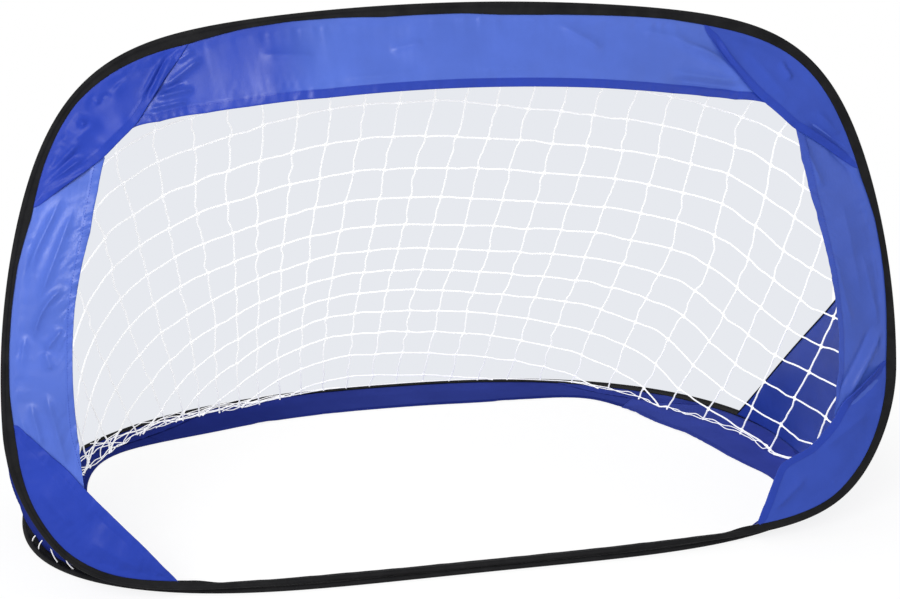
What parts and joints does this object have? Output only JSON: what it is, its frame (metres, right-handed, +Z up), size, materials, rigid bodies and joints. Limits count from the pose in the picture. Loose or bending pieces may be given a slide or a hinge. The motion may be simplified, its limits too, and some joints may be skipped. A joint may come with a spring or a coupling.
{
  "type": "pop-up goal net",
  "caption": "Fold-flat training goal: sprung wire hoops in black tape for the mouth and base, blue cloth bands and side gussets, and a white knotted net that slopes to the rear.",
  "frame": {"origin": "on the ground, in the middle of the base hoop's outline", "axes": "+X to the right seen from in front of the mouth, the mouth faces -Y, +Z up"},
  "size_m": [1.2154, 0.7963, 0.7403],
  "materials": {
    "tape_black": "woven",
    "cloth_blue": "satin",
    "cord_white": "matte",
    "wire_steel": "satin"
  },
  "bodies": {
    "base": {"base_spring_wire": "wire_steel", "base_wire_ferrule": "wire_steel", "base_tape": "tape_black", "base_rear_band": "cloth_blue", "base_left_band": "cloth_blue", "base_right_band": "cloth_blue", "base_rear_left_corner": "cloth_blue", "base_rear_right_corner": "cloth_blue", "base_front_left_corner": "cloth_blue", "base_front_right_corner": "cloth_blue", "net": "cord_white", "left_gusset": "cloth_blue", "right_gusset": "cloth_blue", "left_gusset_binding": "tape_black", "right_gusset_binding": "tape_black"},
    "mouth": {"mouth_spring_wire": "wire_steel", "mouth_wire_ferrule": "wire_steel", "mouth_tape": "tape_black", "mouth_top_band": "cloth_blue", "mouth_left_band": "cloth_blue", "mouth_right_band": "cloth_blue", "mouth_top_left_corner": "cloth_blue", "mouth_top_right_corner": "cloth_blue", "mouth_bottom_left_corner": "cloth_blue", "mouth_bottom_right_corner": "cloth_blue"}
  },
  "joints": [
    {"name": "mouth_fold", "type": "hinge", "parent": "base", "child": "mouth", "pos_m": [0, -0.3908, 0.0075], "axis": [-1, 0, 0], "range_deg": [0, 78], "stiffness_Nm_per_rad": 1.5, "springref_deg": -29.79, "deforming": ["net", "left_gusset", "right_gusset", "left_gusset_binding", "right_gusset_binding"]}
  ]
}
